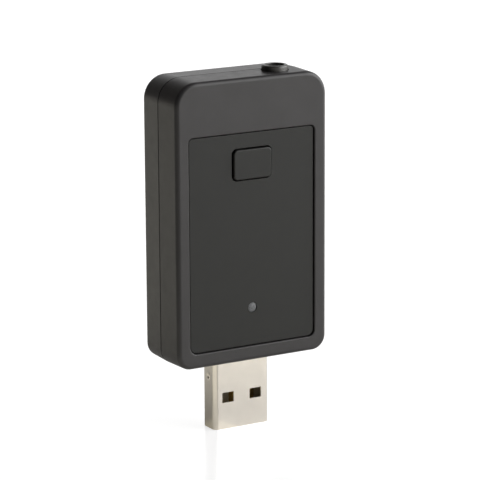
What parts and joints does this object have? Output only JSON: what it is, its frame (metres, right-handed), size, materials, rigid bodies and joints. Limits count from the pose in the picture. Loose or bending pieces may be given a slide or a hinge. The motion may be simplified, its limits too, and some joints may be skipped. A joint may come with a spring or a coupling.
{
  "type": "bluetooth audio transmitter",
  "caption": "Small upright wireless audio transmitter: a two-half moulded case on a USB plug, with a stereo jack socket on top, a push button and a status light on its inlaid front panel.",
  "frame": {"origin": "middle of the USB plug's tip, in the plane that closes its mouth", "axes": "+Z from the plug up to the jack, -Y the way the front panel and its button face, +X to the right of someone who looks at the front"},
  "size_m": [0.0324, 0.0131, 0.0693],
  "materials": {
    "case_plastic": "fine spark texture, matt dark grey",
    "panel_plastic": "smooth matt, slightly darker and warmer than the case",
    "clear_plastic": "milky clear",
    "board_laminate": "green solder mask",
    "nickel_plated_steel": "satin nickel plate",
    "insulator_plastic": "moulded, warm dark grey",
    "switch_plastic": "moulded black",
    "gold_plated_brass": "gold plate",
    "jack_plastic": "satin black",
    "spring_brass": "plain rolled",
    "spring_steel": "plain rolled",
    "tinned_lead": "tin plate",
    "chip_resin": "moulded black resin",
    "ferrite": "sintered dark grey",
    "component_ceramic": "fired ceramic with metal ends"
  },
  "bodies": {
    "case": {"front_shell": "case_plastic", "rear_shell": "case_plastic", "front_panel": "panel_plastic", "light_pipe": "clear_plastic", "circuit_board": "board_laminate", "usb_shell": "nickel_plated_steel", "usb_insulator": "insulator_plastic", "usb_supply_contact": "gold_plated_brass", "usb_data_minus_contact": "gold_plated_brass", "usb_data_plus_contact": "gold_plated_brass", "usb_ground_contact": "gold_plated_brass", "jack_housing": "jack_plastic", "jack_sleeve_spring": "spring_brass", "jack_ring_spring": "spring_brass", "jack_tip_spring": "spring_brass", "switch_base": "switch_plastic", "switch_cover": "spring_steel", "switch_dome": "spring_steel", "switch_terminals": "tinned_lead", "status_lamp": "clear_plastic", "bluetooth_chip": "chip_resin", "audio_converter_chip": "chip_resin", "memory_chip": "chip_resin", "voltage_regulator": "chip_resin", "crystal": "spring_steel", "power_inductor": "ferrite", "supply_fuse": "component_ceramic", "antenna": "component_ceramic", "small_capacitors": "component_ceramic", "small_resistors": "component_ceramic"},
    "button": {"push_button": "panel_plastic", "switch_plunger": "switch_plastic"}
  },
  "joints": [
    {"name": "button_press", "type": "slide", "parent": "case", "child": "button", "axis": [0, 1, 0], "range_m": [0, 0.00025], "stiffness_N_per_m": 4000}
  ]
}
